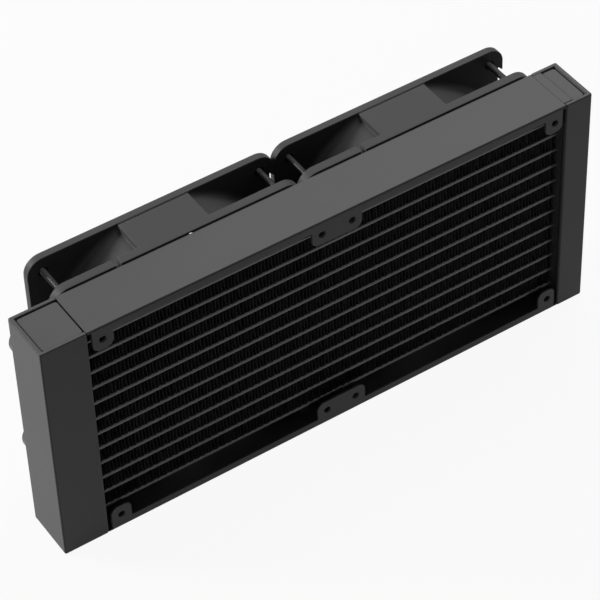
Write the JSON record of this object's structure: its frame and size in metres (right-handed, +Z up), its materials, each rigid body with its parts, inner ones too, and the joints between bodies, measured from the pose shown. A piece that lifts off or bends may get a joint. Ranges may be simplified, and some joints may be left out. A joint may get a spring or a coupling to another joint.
{
  "type": "liquid cooler radiator with fans",
  "caption": "Flat black liquid-cooler radiator with side tanks, a finned flat-tube core, screw tabs and hose fittings, with round axial fans screwed to its rear.",
  "frame": {"origin": "centre of the base of the bounding box, on the surface that the part stands on", "axes": "+X along the length away from the hose-port tank, +Y from the grille side to the fan side, +Z up"},
  "size_m": [0.273, 0.0534, 0.12],
  "materials": {
    "radiator_paint": "satin black paint on aluminium",
    "core_paint": "matt black paint on thin aluminium",
    "fitting_metal": "dark turned metal, satin",
    "fan_frame_plastic": "matt black moulded plastic",
    "fan_blade_plastic": "matt black moulded plastic",
    "bearing_bronze": "plain sintered bronze",
    "polished_steel": "ground steel",
    "circuit_board": "green glass-fibre board",
    "motor_steel": "plain sheet steel",
    "copper_wire": "enamelled copper wire",
    "magnet_rubber": "rubber-bonded ferrite",
    "black_steel": "blackened steel"
  },
  "bodies": {
    "radiator": {"port_tank": "radiator_paint", "return_tank": "radiator_paint", "port_cap_top": "radiator_paint", "port_cap_bottom": "radiator_paint", "return_cap_top": "radiator_paint", "return_cap_bottom": "radiator_paint", "port_header": "radiator_paint", "return_header": "radiator_paint", "rail_top": "radiator_paint", "rail_bottom": "radiator_paint", "tank_divider": "radiator_paint", "flat_tube_01": "core_paint", "flat_tube_02": "core_paint", "flat_tube_03": "core_paint", "flat_tube_04": "core_paint", "flat_tube_05": "core_paint", "flat_tube_06": "core_paint", "flat_tube_07": "core_paint", "flat_tube_08": "core_paint", "flat_tube_09": "core_paint", "flat_tube_10": "core_paint", "flat_tube_11": "core_paint", "flat_tube_12": "core_paint", "fin_strip_01": "core_paint", "fin_strip_02": "core_paint", "fin_strip_03": "core_paint", "fin_strip_04": "core_paint", "fin_strip_05": "core_paint", "fin_strip_06": "core_paint", "fin_strip_07": "core_paint", "fin_strip_08": "core_paint", "fin_strip_09": "core_paint", "fin_strip_10": "core_paint", "fin_strip_11": "core_paint", "hose_fitting_upper": "fitting_metal", "hose_fitting_lower": "fitting_metal", "fan_left_frame": "fan_frame_plastic", "fan_left_bearing": "bearing_bronze", "fan_left_board": "circuit_board", "fan_left_stator": "motor_steel", "fan_left_windings": "copper_wire", "fan_right_frame": "fan_frame_plastic", "fan_right_bearing": "bearing_bronze", "fan_right_board": "circuit_board", "fan_right_stator": "motor_steel", "fan_right_windings": "copper_wire", "fan_screws": "black_steel"},
    "left_rotor": {"fan_left_rotor": "fan_blade_plastic", "fan_left_shaft": "polished_steel", "fan_left_clip": "polished_steel", "fan_left_magnet": "magnet_rubber", "fan_left_yoke": "motor_steel"},
    "right_rotor": {"fan_right_rotor": "fan_blade_plastic", "fan_right_shaft": "polished_steel", "fan_right_clip": "polished_steel", "fan_right_magnet": "magnet_rubber", "fan_right_yoke": "motor_steel"}
  },
  "joints": [
    {"name": "left_fan_spin", "type": "hinge", "parent": "radiator", "child": "left_rotor", "pos_m": [-0.05575, 0.0133, 0.06], "axis": [0, 1, 0], "continuous": true},
    {"name": "right_fan_spin", "type": "hinge", "parent": "radiator", "child": "right_rotor", "pos_m": [0.06425, 0.0133, 0.06], "axis": [0, 1, 0], "continuous": true}
  ]
}
